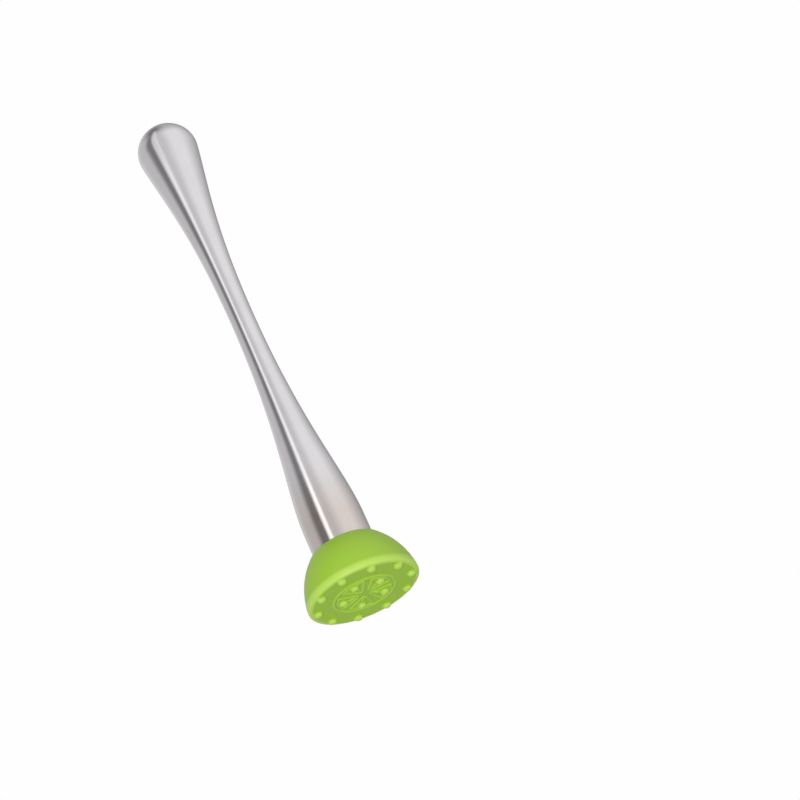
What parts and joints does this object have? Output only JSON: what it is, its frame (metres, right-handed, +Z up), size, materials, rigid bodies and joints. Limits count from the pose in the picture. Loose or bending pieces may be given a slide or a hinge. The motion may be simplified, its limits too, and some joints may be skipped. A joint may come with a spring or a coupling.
{
  "type": "muddler",
  "caption": "Upright bar muddler: waisted satin steel handle with a ball pommel, screwed onto a round green silicone crushing head with nibs and a raised relief.",
  "frame": {"origin": "on the surface it stands on, under the middle of the head: the centre of the bottom of its box, at the nib tips", "axes": "+Z up the handle's axis from the crushing head to the pommel; +X through one nib of the outer ring"},
  "size_m": [0.0391, 0.039, 0.205],
  "materials": {
    "satin_steel": "satin, polished along the tube",
    "black_nylon": "moulded, matte",
    "brass": "turned",
    "seal_silicone": "moulded, translucent",
    "green_silicone": "moulded satin silicone",
    "white_nylon": "moulded, matte",
    "zinc_steel": "bright zinc plated"
  },
  "bodies": {
    "head": {"head_cover": "green_silicone", "head_core": "white_nylon", "head_stud": "zinc_steel"},
    "seal": {"seal_ring": "seal_silicone"},
    "handle": {"handle_shell": "satin_steel", "pommel_cap": "satin_steel", "end_plug": "black_nylon", "threaded_insert": "brass"}
  },
  "joints": [
    {"name": "thread_rise", "type": "slide", "parent": "head", "child": "seal", "axis": [0, 0, 1], "range_m": [0, 0.01125]},
    {"name": "unscrew_turn", "type": "hinge", "parent": "seal", "child": "handle", "pos_m": [0, 0, 0.0171], "axis": [0, 0, 1], "range_deg": [0, 3240]}
  ],
  "couplings": [
    {"joint": "unscrew_turn", "follows": "thread_rise", "rad_per_m": 5026.5}
  ]
}
